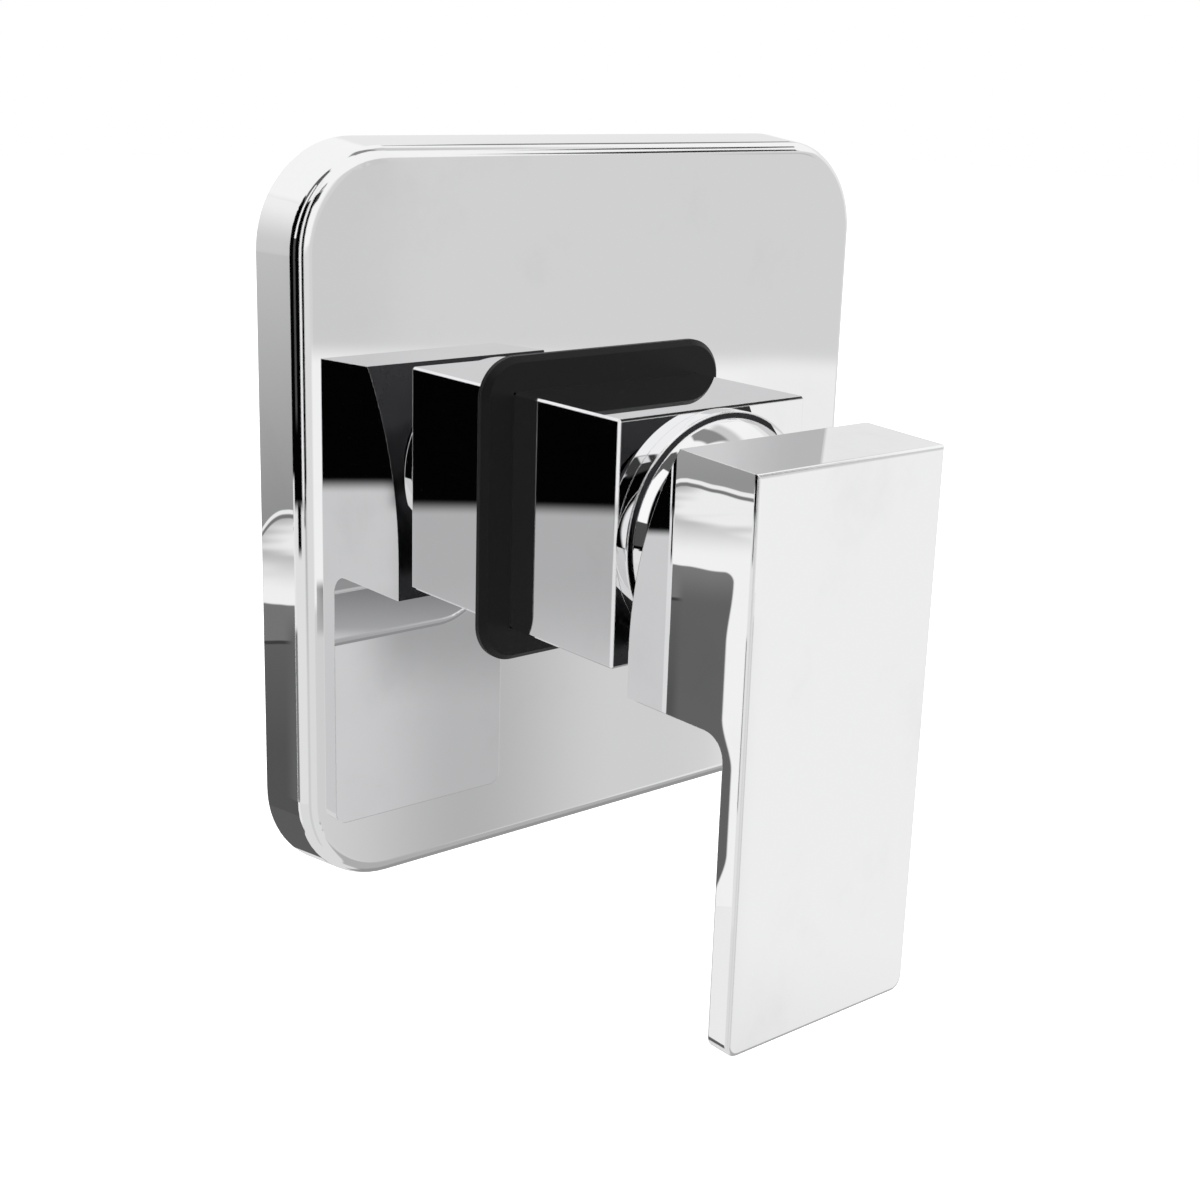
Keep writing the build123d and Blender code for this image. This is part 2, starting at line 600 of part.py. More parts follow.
def body_fixing_screws():
    head_back = BODY_BACK + LUG_THICKNESS
    screws = []
    for at in fixing_places():
        screw = rod(FIXING_HEAD_R, head_back, head_back + FIXING_HEAD_HEIGHT, at)
        screw = fillet(screw.faces().sort_by(Axis.Z)[-1].edges(), FIXING_HEAD_HEIGHT * 0.6)
        screw += rod(FIXING_NECK_R, BODY_BACK - FIXING_THREAD_START, head_back, at)
        screw += rod(FIXING_THREAD_R, head_back - FIXING_LENGTH, BODY_BACK - FIXING_THREAD_START, at)
        point = Pos(at[0], at[1], head_back - FIXING_LENGTH) * Rot(180, 0, 0)
        screw += point * Cone(FIXING_THREAD_R, 0.2, 2 * FIXING_THREAD_R, align=BASE_ALIGN)
        screws.append(screw)
    return screws


PIECES = [
    wall_plate,
    plate_wall_seal,
    plate_gasket,
    square_sleeve,
    sleeve_guide_ring,
    dome_cap,
    neck_o_ring,
    cartridge_nut,
    cartridge_casing,
    cartridge_base,
    base_seals,
    disc_seals,
    fixed_disc,
    moving_disc,
    disc_driver,
    lever_carrier,
    carrier_o_ring,
    lever_pin,
    lever_stem,
    handle,
    handle_set_screw,
    screw_cap,
    valve_body,
    body_fixing_screws,
]


def main():
    os.makedirs("parts", exist_ok=True)
    for make in PIECES:
        made = make()
        solids = made if isinstance(made, list) else [made]
        turned = [Rot(90, 0, 0) * solid for solid in solids]
        piece = turned[0] if len(turned) == 1 else Compound(children=turned)
        export_step(piece, f"parts/{make.__name__}.step")
    print("lift", LIFT_ANGLE, "degrees, disc travel", round(DISC_TRAVEL, 3), "mm, dome", round(DOME_RADIUS, 2))


main()
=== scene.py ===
"""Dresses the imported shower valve: camera, studio, materials and the small details of each piece.

Lengths are in metres and the frame is the CAD model's: +Z is up, -Y points out of the wall and
the origin is the valve's axis in the plane of the wall.
"""

import json
from math import asin, cos, hypot, pi, radians, sin

import bmesh
import bpy
from mathutils import Matrix, Vector


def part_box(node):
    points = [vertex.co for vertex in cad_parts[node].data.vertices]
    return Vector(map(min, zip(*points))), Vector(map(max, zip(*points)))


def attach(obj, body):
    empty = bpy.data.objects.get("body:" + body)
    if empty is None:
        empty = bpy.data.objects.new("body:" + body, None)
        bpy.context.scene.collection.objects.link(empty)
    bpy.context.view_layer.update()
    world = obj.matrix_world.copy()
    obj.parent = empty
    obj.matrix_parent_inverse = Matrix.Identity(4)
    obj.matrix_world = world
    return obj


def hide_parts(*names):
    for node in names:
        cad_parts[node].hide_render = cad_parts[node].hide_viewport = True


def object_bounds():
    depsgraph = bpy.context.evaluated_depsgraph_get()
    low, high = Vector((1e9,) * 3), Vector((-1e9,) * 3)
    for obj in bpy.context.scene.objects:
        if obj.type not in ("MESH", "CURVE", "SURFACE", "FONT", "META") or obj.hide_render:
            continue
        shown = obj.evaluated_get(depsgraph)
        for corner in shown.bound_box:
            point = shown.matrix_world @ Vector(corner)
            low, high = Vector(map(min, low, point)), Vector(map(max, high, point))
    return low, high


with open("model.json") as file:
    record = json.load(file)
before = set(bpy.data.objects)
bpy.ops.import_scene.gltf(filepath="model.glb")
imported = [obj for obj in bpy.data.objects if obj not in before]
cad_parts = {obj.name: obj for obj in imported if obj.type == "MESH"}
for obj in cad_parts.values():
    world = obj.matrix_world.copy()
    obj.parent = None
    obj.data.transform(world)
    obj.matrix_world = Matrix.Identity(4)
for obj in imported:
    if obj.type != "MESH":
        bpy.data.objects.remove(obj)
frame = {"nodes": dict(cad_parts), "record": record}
CAD_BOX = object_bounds()
NODES = frame["nodes"]
MM = 0.001

# Camera, fitted to the photograph's edges
CAMERA_PLACE = (-0.2536, -0.3156, 0.0923)
CAMERA_YAW = 40.08
CAMERA_PITCH = 16.31
CAMERA_ROLL = 1.79
CAMERA_LENS = 56.47
SENSOR = 36.0

# Floor and lamp
FLOOR_DROP = 0.03
FLOOR_SIZE = 6.0
LAMP_HEIGHT = 1.6
LAMP_SIZE = 2.4
LAMP_POWER = 26.0

# Dome cap, with distances measured out of the wall
PIVOT_OUT = 43.0 * MM
RING_BACK_OUT = 48.0 * MM
RING_HEIGHT = 3.2 * MM
RING_ROUND = 0.4 * MM
RIM_INSET = 1.6 * MM
DOME_WALL = 1.5 * MM
DOME_OPENING = 15.8 * MM
SKIRT_BORE = 21.05 * MM
SKIRT_WALL = 1.55 * MM

# Threads in the ports
RIDGE_STEPS = 72
RIDGE_RUN_OUT = 40.0
SUNK = 0.06 * MM
PORT_PITCH = 1.814 * MM
PORT_THREAD_HEIGHT = 0.55 * MM
PORT_THREAD_START = 0.9 * MM
PORT_THREAD_END = 0.6 * MM

# Wall screws, measured from the top of the head
SCREW_HEAD_R = 4.6 * MM
SCREW_HEAD_HEIGHT = 3.0 * MM
SCREW_HEAD_ROUND = 1.8 * MM
SCREW_NECK_R = 1.9 * MM
SCREW_THREAD_START = 8.5 * MM
SCREW_TAPER = 31.0 * MM
SCREW_POINT = 35.6 * MM
SCREW_OUTER = 2.36 * MM
SCREW_CORE_SHARE = 0.7
SCREW_PITCH = 1.8 * MM
SCREW_TURNS = (0.35, 1.1)

# Card behind on the left, in its own plane: across it and up
CARD_AZIMUTH = -43.5
CARD_DISTANCE = 0.3
CARD_LEFT, CARD_RIGHT = -0.088, 0.05
CARD_LOW, CARD_HIGH = -0.225, 0.2


def linear(grey):
    """The linear value of a grey given on the screen's 0 to 255 scale."""
    share = grey / 255
    return share / 12.92 if share <= 0.04045 else ((share + 0.055) / 1.055) ** 2.4


def colour(red, green, blue):
    return (linear(red), linear(green), linear(blue), 1.0)


# Node trees


class Tree:
    """A short way to add nodes: each call makes one, fills its inputs and gives back an output."""

    def __init__(self, tree):
        self.tree = tree
        tree.nodes.clear()

    def add(self, kind, output=0, inputs=None, **settings):
        made = self.tree.nodes.new(kind)
        for name, value in settings.items():
            setattr(made, name, value)
        for name, value in (inputs or {}).items():
            if isinstance(value, bpy.types.NodeSocket):
                self.tree.links.new(value, made.inputs[name])
            else:
                made.inputs[name].default_value = value
        return made if output is None else made.outputs[output]

    def math(self, operation, first, second=0.0, third=0.0):
        inputs = {0: first, 1: second}
        if operation in ("WRAP", "MULTIPLY_ADD"):
            inputs[2] = third
        return self.add("ShaderNodeMath", inputs=inputs, operation=operation)

    def ramp(self, value, low, high, to_low=0.0, to_high=1.0, smooth=True):
        return self.add(
            "ShaderNodeMapRange",
            inputs={0: value, 1: low, 2: high, 3: to_low, 4: to_high},
            interpolation_type="SMOOTHSTEP" if smooth else "LINEAR",
        )

    def mix(self, factor, first, second):
        """A blend of two numbers."""
        return self.add("ShaderNodeMix", inputs={0: factor, 2: first, 3: second}, data_type="FLOAT")

    def blend(self, factor, first, second):
        """A blend of two colours."""
        return self.add("ShaderNodeMix", 2, {0: factor, 6: first, 7: second}, data_type="RGBA")

    def noise(self, scale, detail=3.0, roughness=0.5, stretch=(1, 1, 1)):
        place = self.add("ShaderNodeTexCoord", "Object")
        place = self.add("ShaderNodeMapping", inputs={"Vector": place, "Scale": stretch})
        inputs = {"Vector": place, "Scale": scale, "Detail": detail, "Roughness": roughness}
        return self.add("ShaderNodeTexNoise", "Fac", inputs)


# Camera and stage


def set_camera():
    yaw, pitch, roll = radians(CAMERA_YAW), radians(CAMERA_PITCH), radians(CAMERA_ROLL)
    level = Vector((sin(yaw), cos(yaw), 0))
    forward = level * cos(pitch) - Vector((0, 0, sin(pitch)))
    upward = level * sin(pitch) + Vector((0, 0, cos(pitch)))
    side = forward.cross(upward)
    right = side * cos(roll) + upward * sin(roll)
    top = upward * cos(roll) - side * sin(roll)
    data = bpy.data.cameras.new("photo_camera")
    data.lens = CAMERA_LENS
    data.sensor_width = SENSOR
    data.sensor_fit = "HORIZONTAL"
    data.clip_start = 0.01
    camera = bpy.data.objects.new("photo_camera", data)
    turned = Matrix((right, top, -forward)).transposed()
    camera.matrix_world = Matrix.Translation(CAMERA_PLACE) @ turned.to_4x4()
    bpy.context.scene.collection.objects.link(camera)
    bpy.context.scene.camera = camera


def set_floor():
    """A pale floor below the lever. The chrome mirrors the studio around it and not the floor."""
    level = CAD_BOX[0][2] - FLOOR_DROP
    half = FLOOR_SIZE / 2
    mesh = bpy.data.meshes.new("floor")
    mesh.from_pydata([(-half, -half, level), (half, -half, level), (half, half, level), (-half, half, level)], [], [(0, 1, 2, 3)])
    floor = bpy.data.objects.new("floor", mesh)
    bpy.context.scene.collection.objects.link(floor)
    floor.visible_glossy = False
    material = bpy.data.materials.new("floor_white")
    material.use_nodes = True
    tree = Tree(material.node_tree)
    grain = tree.ramp(tree.noise(3.0), 0.3, 0.7, 0.985, 1.0)
    paint = tree.add("ShaderNodeCombineColor", inputs={0: grain, 1: grain, 2: grain})
    shader = tree.add("ShaderNodeBsdfPrincipled", inputs={
        "Base Color": paint, "Roughness": 0.9, "Emission Color": (1, 1, 1, 1), "Emission Strength": 0.35,
    })
    tree.add("ShaderNodeOutputMaterial", None, {"Surface": shader})
    mesh.materials.append(material)


def set_lamp():
    data = bpy.data.lights.new("soft_top_light", "AREA")
    data.shape = "DISK"
    data.size = LAMP_SIZE
    data.energy = LAMP_POWER
    lamp = bpy.data.objects.new("soft_top_light", data)
    lamp.location = (0.3, 0.2, LAMP_HEIGHT)
    lamp.visible_glossy = False
    bpy.context.scene.collection.objects.link(lamp)


class Studio:
    """The light tent that the chrome mirrors, painted by compass and height.

    Azimuth runs from +Y towards +X and elevation up from the horizon, both in degrees. Each
    panel is laid over those before it, and its edge fades over its softness.
    """

    def __init__(self, world):
        self.tree = Tree(world.node_tree)
        way = self.tree.add("ShaderNodeTexCoord", "Generated")
        parts = self.tree.add("ShaderNodeSeparateXYZ", None, {0: way})
        turn = self.tree.math("ARCTAN2", parts.outputs[0], parts.outputs[1])
        rise = self.tree.math("ARCSINE", parts.outputs[2])
        self.azimuth = self.tree.math("MULTIPLY", turn, 180 / pi)
        self.elevation = self.tree.math("MULTIPLY", rise, 180 / pi)
        self.light = linear(250)

    def inside(self, angle, low, high, softness):
        """One across the stretch between two angles and nought outside it."""
        middle, half = (low + high) / 2, (high - low) / 2
        off = self.tree.math("WRAP", self.tree.math("SUBTRACT", angle, middle), 180, -180)
        return self.tree.ramp(self.tree.math("ABSOLUTE", off), half + softness / 2, half - softness / 2)

    def panel(self, grey, azimuth, elevation, softness=(2.0, 2.0), grey_top=None):
        mask = self.tree.math(
            "MULTIPLY",
            self.inside(self.azimuth, *azimuth, softness[0]),
            self.inside(self.elevation, *elevation, softness[1]),
        )
        shade = linear(grey)
        if grey_top is not None:
            shade = self.tree.ramp(self.elevation, *elevation, linear(grey), linear(grey_top), smooth=False)
        self.light = self.tree.mix(mask, self.light, shade)

    def finish(self):
        """Lights the object with the tent, while the camera sees a plain white background."""
        paint = self.tree.add("ShaderNodeCombineColor", inputs={0: self.light, 1: self.light, 2: self.light})
        tent = self.tree.add("ShaderNodeBackground", inputs={"Color": paint, "Strength": 1.0})
        plain = self.tree.add("ShaderNodeBackground", inputs={"Color": (1, 1, 1, 1), "Strength": 1.0})
        seen = self.tree.add("ShaderNodeLightPath", "Is Camera Ray")
        mixed = self.tree.add("ShaderNodeMixShader", inputs={0: seen, 1: tent, 2: plain})
        self.tree.add("ShaderNodeOutputWorld", None, {"Surface": mixed})


def set_studio():
    world = bpy.data.worlds.new("studio")
    bpy.context.scene.world = world
    world.use_nodes = True
    studio = Studio(world)
    everywhere = (-180, 180)
    # The table below, light grey all round, and the bright tent above it
    studio.panel(222, everywhere, (-90, -2), (0.1, 4))
    studio.panel(236, (-30, 100), (-2, 24), (10, 5))
    # In front on the right, mirrored by the plate's front and the lever's front
    studio.panel(214, (100, 172), (-9, 26), (16, 1.6))
    studio.panel(207, (146.5, 156), (-9, 26), (3, 1.6))
    studio.panel(190, (122, 134.4), (12.5, 18), (3, 2))
    studio.panel(246, (100, 165), (-16.7, -9), (10, 0.8))
    studio.panel(211, (136, 165), (-60, -16.7), (4, 0.5))
    studio.panel(182, (141.6, 146.6), (-60, -16.8), (5, 0.6))
    studio.panel(178, (143, 149), (-17.4, -15.9), (1, 0.4), grey_top=128)
    studio.panel(242, (100, 135.5), (-60, -9), (2, 1.2))
    studio.panel(230, (100, 135.5), (-60, -28.5), (2, 6))
    studio.panel(176, (100, 165), (-75, -33), (6, 3))
    # Behind on the right, mirrored by the top faces and, through the lever's back, by the plate
    studio.panel(234, (38, 70), (5, 18), (8, 4))
    studio.panel(120, (39, 54), (20, 35), (3, 4))
    studio.panel(212, (20, 33.6), (-30, -12), (4, 2))
    studio.panel(190, (33.6, 46), (-36, -12), (4, 2))
    studio.panel(168, (33, 46), (-18.5, -12), (2.2, 2.6))
    studio.panel(150, (34, 112), (-75, -32), (8, 5))
    # High up: a grey reflector and the dark gap over the square sleeve's corner
    studio.panel(205, (58, 100), (51, 66), (10, 8))
    studio.panel(140, (28, 92), (63, 81), (10, 4))
    studio.panel(38, (121, 133), (28, 37), (2, 2))
    studio.panel(49, (98, 111), (42, 50), (3, 3))
    # The table's front edge, and the dark room round the camera above it
    studio.panel(208, (-151, -134), (-60, -12), (2, 0.5))
    studio.panel(182, (-146.3, -134), (-17.5, -12), (1.6, 4))
    studio.panel(228, (-134, -56), (-26, -12), (3, 0.4))
    studio.panel(3, (-151, -46), (-13.6, 41), (1.5, 0.5))
    studio.panel(208, (-151, -146.4), (-16, -12.95), (0.8, 0.5))
    studio.panel(210, (-139.1, -136), (-30, -14), (0.3, 0.4))
    studio.panel(3, (-139.1, -132), (-14.2, -13), (0.3, 0.3))
    studio.panel(60, (-163.5, -149), (27, 44), (2.5, 3))
    studio.panel(225, (-163, -156), (36.4, 40.4), (1, 1))
    studio.panel(240, (-135.6, -121), (-13.6, 60), (1.5, 1.0))
    studio.panel(3, (-110, -86), (-15, -13.4), (3, 0.5))
    studio.panel(122, (-66, -44), (-22.5, -17.3), (4, 0.4))
    studio.panel(92, (-104, -56), (40, 75), (4, 3))
    studio.panel(76, (-93.5, -79), (-11, 9.4), (1.2, 1.0))
    studio.panel(255, (-92.6, -79), (9.4, 58), (1.2, 1.0))
    # Behind on the left, round the card
    studio.panel(215, (-46, -24), (12, 27), (6, 8))
    studio.panel(165, (-46, -30), (-12.4, 12), (1, 0.4))
    studio.panel(235, (-60, -30), (-17.2, -12.7), (2, 0.4))
    studio.panel(238, (-60, -43), (-40, -24.8), (2, 1.5))
    studio.panel(92, (-42.5, 19), (-46, -17.4), (1, 0.4))
    studio.finish()


def set_side_card():
    """A glowing card behind on the left, seen only in the lever's side and the plate's left edge: a painted
    reflection of part of the room.

    Its glow paints grey cloth at the top, a bright line along the hem with a painted shadow line just under it, then
    a bright fold in painted light and shade, and dark below with one rounded corner.
    """
    turn = radians(CARD_AZIMUTH)
    mesh = bpy.data.meshes.new("side_card")
    low, high = CARD_LOW, CARD_HIGH
    left, right = CARD_LEFT, CARD_RIGHT
    mesh.from_pydata([(left, 0, low), (right, 0, low), (right, 0, high), (left, 0, high)], [], [(0, 1, 2, 3)])
    card = bpy.data.objects.new("side_card", mesh)
    bpy.context.scene.collection.objects.link(card)
    place = Vector((sin(turn) * CARD_DISTANCE, cos(turn) * CARD_DISTANCE, 0))
    card.matrix_world = Matrix.Translation(place) @ Matrix.Rotation(-turn, 4, "Z")
    card.visible_camera = card.visible_diffuse = card.visible_shadow = False
    material = bpy.data.materials.new("side_card")
    material.use_nodes = True
    tree = Tree(material.node_tree)
    parts = tree.add("ShaderNodeSeparateXYZ", None, {0: tree.add("ShaderNodeTexCoord", "Object")})
    wave = tree.ramp(tree.noise(26, 3, 0.55, (1, 1, 0.5)), 0.2, 0.8, -1.5 * MM, 1.5 * MM, smooth=False)
    across = parts.outputs[0]
    height = tree.math("ADD", parts.outputs[2], wave)
    # The cloth, its hem with a painted shadow line under it, and the fold below, in painted light and shade
    cloth = tree.ramp(height, -57 * MM, 50 * MM, linear(148), linear(205), smooth=False)
    cloth = tree.mix(tree.ramp(height, 50 * MM, 190 * MM), cloth, linear(245))
    slant = tree.math("MULTIPLY", tree.math("MAXIMUM", tree.math("SUBTRACT", -60 * MM, across), 0.0), 0.2)
    curl = tree.math("MAXIMUM", tree.math("ADD", across, 58 * MM), 0.0)
    curl = tree.math("MULTIPLY", tree.math("POWER", curl, 2.0), 120.0)
    above = tree.math("ADD", tree.math("ADD", tree.math("ADD", height, slant), curl), 57.5 * MM)
    # Grey waves of painted light and shade over the fold
    fold_light_and_shade = tree.ramp(tree.noise(52, 2, 0.5, (0.35, 1, 1.9)), 0.44, 0.64, linear(180), linear(240))
    fold_light_and_shade = tree.mix(tree.ramp(height, -68 * MM, -86 * MM), fold_light_and_shade, linear(245))
    light = tree.mix(tree.ramp(above, -0.4 * MM, 0.4 * MM), fold_light_and_shade, cloth)
    light = tree.mix(tree.ramp(tree.math("ABSOLUTE", above), 1.0 * MM, 0.4 * MM), light, linear(240))
    # A painted shadow line just under the hem
    hem_shadow = tree.math("ABSOLUTE", tree.math("ADD", above, 1.5 * MM))
    light = tree.mix(tree.ramp(hem_shadow, 1.0 * MM, 0.3 * MM), light, linear(120))
    # The dark below it, with one rounded corner
    tilt = tree.math("MULTIPLY_ADD", across, -0.08, -4.4 * MM)
    top = tree.math("ADD", height, tilt)
    lean = tree.ramp(height, -95 * MM, -118 * MM, -75 * MM, -73.3 * MM)
    lean = tree.math("ADD", lean, tree.ramp(height, -147 * MM, -170 * MM, 0.0, -4.4 * MM))
    lean = tree.math("ADD", lean, tree.ramp(height, -203 * MM, -226 * MM, 0.0, 5.0 * MM))
    off = tree.math("MAXIMUM", tree.math("SUBTRACT", lean, across), 0.0)
    rise = tree.math("MAXIMUM", tree.math("ADD", top, 92.6 * MM), 0.0)
    corner = tree.math("SQRT", tree.math("ADD", tree.math("POWER", off, 2.0), tree.math("POWER", rise, 2.0)))
    inside = tree.ramp(corner, 4.1 * MM, 3.3 * MM)
    near_edge = tree.ramp(across, -61 * MM, -57 * MM)
    dark = tree.ramp(height, -104 * MM, -88 * MM, linear(98), linear(122))
    low = tree.ramp(height, -140 * MM, -104 * MM, linear(84), linear(96), smooth=False)
    band = tree.mix(tree.ramp(height, -102.5 * MM, -101.5 * MM), low, linear(118))
    line = tree.ramp(tree.math("ABSOLUTE", tree.math("ADD", height, 102 * MM)), 0.9 * MM, 0.3 * MM)
    band = tree.mix(line, band, linear(62))
    light = tree.mix(inside, light, tree.mix(near_edge, dark, band))
    shown = tree.math("LESS_THAN", tree.math("SUBTRACT", -88 * MM, across), 0.0)
    paint = tree.add("ShaderNodeCombineColor", inputs={0: light, 1: light, 2: light})
    glow = tree.add("ShaderNodeEmission", inputs={"Color": paint, "Strength": 1.0})
    clear = tree.add("ShaderNodeBsdfTransparent")
    mixed = tree.add("ShaderNodeMixShader", inputs={0: shown, 1: clear, 2: glow})
    tree.add("ShaderNodeOutputMaterial", None, {"Surface": mixed})
    mesh.materials.append(material)


# Materials


def new_material(name):
    material = bpy.data.materials.new(name)
    material.use_nodes = True
    return material, Tree(material.node_tree)


def close(tree, **inputs):
    """Ends a material in one Principled shader. Underscores in the names stand for spaces."""
    named = {name.replace("_", " "): value for name, value in inputs.items()}
    shader = tree.add("ShaderNodeBsdfPrincipled", inputs=named)
    tree.add("ShaderNodeOutputMaterial", None, {"Surface": shader})


def bump(tree, height, depth, strength=1.0, normal=None):
    inputs = {"Height": height, "Distance": depth, "Strength": strength}
    if normal is not None:
        inputs["Normal"] = normal
    return tree.add("ShaderNodeBump", "Normal", inputs)


def edge_mask(tree, radius):
    """Bright where the surface turns sharply, for polish and wear along the edges."""
    soft = tree.add("ShaderNodeBevel", inputs={"Radius": radius}, samples=4)
    flat = tree.add("ShaderNodeNewGeometry", "Normal")
    facing = tree.add("ShaderNodeVectorMath", "Value", {0: soft, 1: flat}, operation="DOT_PRODUCT")
    return soft, tree.ramp(facing, 0.999, 0.9)


def inner_side(tree):
    """One on a shell's inner side, which faces the wall or the valve's axis, and nought outside."""
    normal = tree.add("ShaderNodeTexCoord", "Normal")
    parts = tree.add("ShaderNodeSeparateXYZ", None, {0: normal})
    backwards = tree.ramp(parts.outputs[1], 0.35, 0.5)
    place = tree.add("ShaderNodeTexCoord", "Object")
    outwards = tree.add("ShaderNodeVectorMath", 0, {0: place, 1: (1, 0, 1)}, operation="MULTIPLY")
    towards_axis = tree.add("ShaderNodeVectorMath", "Value", {0: outwards, 1: normal}, operation="DOT_PRODUCT")
    inwards = tree.ramp(towards_axis, -2 * MM, -4 * MM)
    return tree.math("MAXIMUM", backwards, inwards)


def head_back_shade(tree):
    """One on the lever head's back, round the dome, where the chrome is painted dark grey as shade in the recess,
    and nought on the rest of the lever.
    """
    normal = tree.add("ShaderNodeSeparateXYZ", None, {0: tree.add("ShaderNodeTexCoord", "Normal")})
    place = tree.add("ShaderNodeSeparateXYZ", None, {0: tree.add("ShaderNodeTexCoord", "Object")})
    backwards = tree.ramp(normal.outputs[1], 0.2, 0.35)
    return tree.math("MULTIPLY", backwards, tree.ramp(place.outputs[1], -76 * MM, -74 * MM))


def chrome(name, grey=248, waviness=0.0, seed_stretch=(1, 1, 1), unpolished_or_shaded_side=None, dull=(206, 204, 200)):
    """Polished plating: a mirror with faint smudges, a very slight ripple and softer edges.

    A mask of a side that is never polished makes it duller and a little grainy, in the dull colour. On the lever the
    mask is the head's back round the dome, and the dark grey dull colour there is painted shade in that recess.
    """
    material, tree = new_material(name)
    soft, edge = edge_mask(tree, 0.25 * MM)
    smudge = tree.ramp(tree.noise(38, 5, 0.62, seed_stretch), 0.52, 0.78)
    fine = tree.noise(900, 2, 0.5)
    rough = tree.math("MULTIPLY_ADD", smudge, 0.01, 0.006)
    rough = tree.math("MULTIPLY_ADD", edge, 0.05, rough)
    rough = tree.math("MULTIPLY_ADD", fine, 0.004, rough)
    tint = tree.blend(smudge, colour(grey, grey, grey + 1), colour(grey - 5, grey - 5, grey - 4))
    normal = soft
    if waviness:
        normal = bump(tree, tree.noise(26, 1, 0.3), waviness * MM, 1.0, soft)
    # The never polished side, and on the lever the head's back, where the dark grey tint is painted shade in the
    # recess round the dome
    if unpolished_or_shaded_side:
        hidden_or_shaded = unpolished_or_shaded_side(tree)
        cloudy = tree.ramp(tree.noise(55, 4, 0.6), 0.3, 0.75, 0.26, 0.5)
        rough = tree.mix(hidden_or_shaded, rough, cloudy)
        tint = tree.blend(hidden_or_shaded, tint, colour(*dull))
        normal = bump(tree, tree.noise(1500, 3, 0.6), 0.03 * MM, tree.math("MULTIPLY", hidden_or_shaded, 0.5), normal)
    close(tree, Base_Color=tint, Metallic=1.0, Roughness=rough, Normal=normal)
    return material


def rubber(name, grey, grain=2600, depth=0.02, dust=0.12, roughness=0.5, sheen=0.5):
    material, tree = new_material(name)
    soft, edge = edge_mask(tree, 0.2 * MM)
    speck = tree.ramp(tree.noise(420, 6, 0.7), 0.55, 0.8)
    base = tree.blend(speck, colour(grey, grey, grey), colour(grey + 12, grey + 12, grey + 11))
    worn = tree.math("MULTIPLY", edge, dust)
    paint = tree.blend(worn, base, colour(grey + 60, grey + 60, grey + 58))
    rough = tree.math("MULTIPLY_ADD", tree.noise(60, 4), 0.2, roughness - 0.1)
    normal = bump(tree, tree.noise(grain, 2), depth * MM, 0.6, soft)
    close(tree, Base_Color=paint, Roughness=rough, Normal=normal, Specular_IOR_Level=sheen)
    return material


def plastic(name, base, darker, roughness=0.38, depth=0.01):
    """Moulded plastic with a fine grain and faint flow marks."""
    material, tree = new_material(name)
    flow = tree.ramp(tree.noise(45, 3, 0.5, (1, 3, 1)), 0.35, 0.75)
    soft, edge = edge_mask(tree, 0.2 * MM)
    paint = tree.blend(flow, base, darker)
    paint = tree.blend(tree.math("MULTIPLY", edge, 0.3), paint, colour(235, 235, 235))
    rough = tree.math("MULTIPLY_ADD", tree.noise(1500, 2), 0.16, roughness - 0.08)
    close(tree, Base_Color=paint, Roughness=rough, Normal=bump(tree, tree.noise(2200, 2), depth * MM, 0.5, soft))
    return material


def foam(name):
    """Closed-cell foam, pitted all over, with painted shade darkening each pit."""
    material, tree = new_material(name)
    place = tree.add("ShaderNodeTexCoord", "Object")
    cells = tree.add("ShaderNodeTexVoronoi", "Distance", {"Vector": place, "Scale": 1400})
    pit_depth_and_shade = tree.ramp(cells, 0.05, 0.55)
    # Painted shade: each pit is darker than its rim, and the same pattern sinks the pits in the bump
    paint = tree.blend(pit_depth_and_shade, colour(28, 28, 29), colour(70, 70, 72))
    close(tree, Base_Color=paint, Roughness=0.92, Normal=bump(tree, pit_depth_and_shade, 0.12 * MM))
    return material


def turned_metal(name, light, dark, roughness, ring_scale=2600, depth=0.004, tarnish=0.35):
    """Metal off the lathe: fine marks round the piece and a little tarnish."""
    material, tree = new_material(name)
    marks = tree.noise(ring_scale, 2, 0.6, (0.06, 1, 0.06))
    stain = tree.ramp(tree.noise(70, 5, 0.6), 0.45, 0.8)
    soft, edge = edge_mask(tree, 0.15 * MM)
    paint = tree.blend(tree.math("MULTIPLY", stain, tarnish), light, dark)
    paint = tree.blend(tree.math("MULTIPLY", edge, 0.4), paint, light)
    rough = tree.math("MULTIPLY_ADD", marks, 0.18, roughness - 0.06)
    rough = tree.math("MULTIPLY_ADD", stain, 0.12, rough)
    close(tree, Base_Color=paint, Metallic=1.0, Roughness=rough, Normal=bump(tree, marks, depth * MM, 0.6, soft))
    return material


